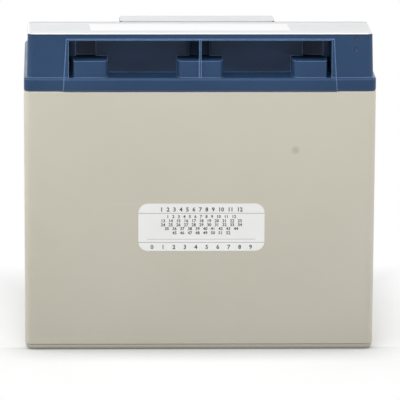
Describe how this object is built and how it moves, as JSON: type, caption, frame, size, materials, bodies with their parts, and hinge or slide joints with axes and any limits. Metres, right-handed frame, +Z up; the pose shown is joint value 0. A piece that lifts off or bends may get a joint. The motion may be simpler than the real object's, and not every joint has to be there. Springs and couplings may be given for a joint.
{
  "type": "deep cycle battery",
  "caption": "Sealed glass-mat deep cycle battery block with a drafted container, a stepped lid with a finger pocket, a vent cover over lifting relief valves, and threaded terminals.",
  "frame": {"origin": "middle of the container's underside, on the floor", "axes": "+X along the long side, +Y from the finger pocket's side to the terminals' side, +Z up"},
  "size_m": [0.26, 0.1808, 0.2384],
  "materials": {
    "container_plastic": "satin, fine texture",
    "lid_plastic": "satin gloss",
    "cast_lead": "dull cast lead",
    "positive_paste": "matte lead dioxide paste",
    "negative_paste": "matte sponge lead paste",
    "glass_mat": "white fibre mat",
    "insert_brass": "machined",
    "rubber": "matte",
    "potting_black": "gloss",
    "potting_red": "gloss",
    "label_white": "satin film",
    "label_grey": "satin film"
  },
  "bodies": {
    "battery": {"case": "container_plastic", "lid": "lid_plastic", "vent_cover": "lid_plastic", "crossover_bar": "cast_lead", "terminal_posts": "cast_lead", "terminal_inserts": "insert_brass", "negative_potting": "potting_black", "positive_potting": "potting_red", "case_label": "label_white", "top_label": "label_grey", "vent_cover_label": "label_grey", "intercell_welds": "cast_lead", "positive_plates_1": "positive_paste", "negative_plates_1": "negative_paste", "separators_1": "glass_mat", "positive_strap_1": "cast_lead", "negative_strap_1": "cast_lead", "positive_plates_2": "positive_paste", "negative_plates_2": "negative_paste", "separators_2": "glass_mat", "positive_strap_2": "cast_lead", "negative_strap_2": "cast_lead", "positive_plates_3": "positive_paste", "negative_plates_3": "negative_paste", "separators_3": "glass_mat", "positive_strap_3": "cast_lead", "negative_strap_3": "cast_lead"},
    "valve_1": {"valve_cap_1": "rubber"},
    "valve_2": {"valve_cap_2": "rubber"},
    "valve_3": {"valve_cap_3": "rubber"}
  },
  "joints": [
    {"name": "valve_lift_1", "type": "slide", "parent": "battery", "child": "valve_1", "axis": [0, 0, 1], "range_m": [0, 0.0008], "stiffness_N_per_m": 1500, "springref_m": -0.0006},
    {"name": "valve_lift_2", "type": "slide", "parent": "battery", "child": "valve_2", "axis": [0, 0, 1], "range_m": [0, 0.0008], "stiffness_N_per_m": 1500, "springref_m": -0.0006},
    {"name": "valve_lift_3", "type": "slide", "parent": "battery", "child": "valve_3", "axis": [0, 0, 1], "range_m": [0, 0.0008], "stiffness_N_per_m": 1500, "springref_m": -0.0006}
  ]
}
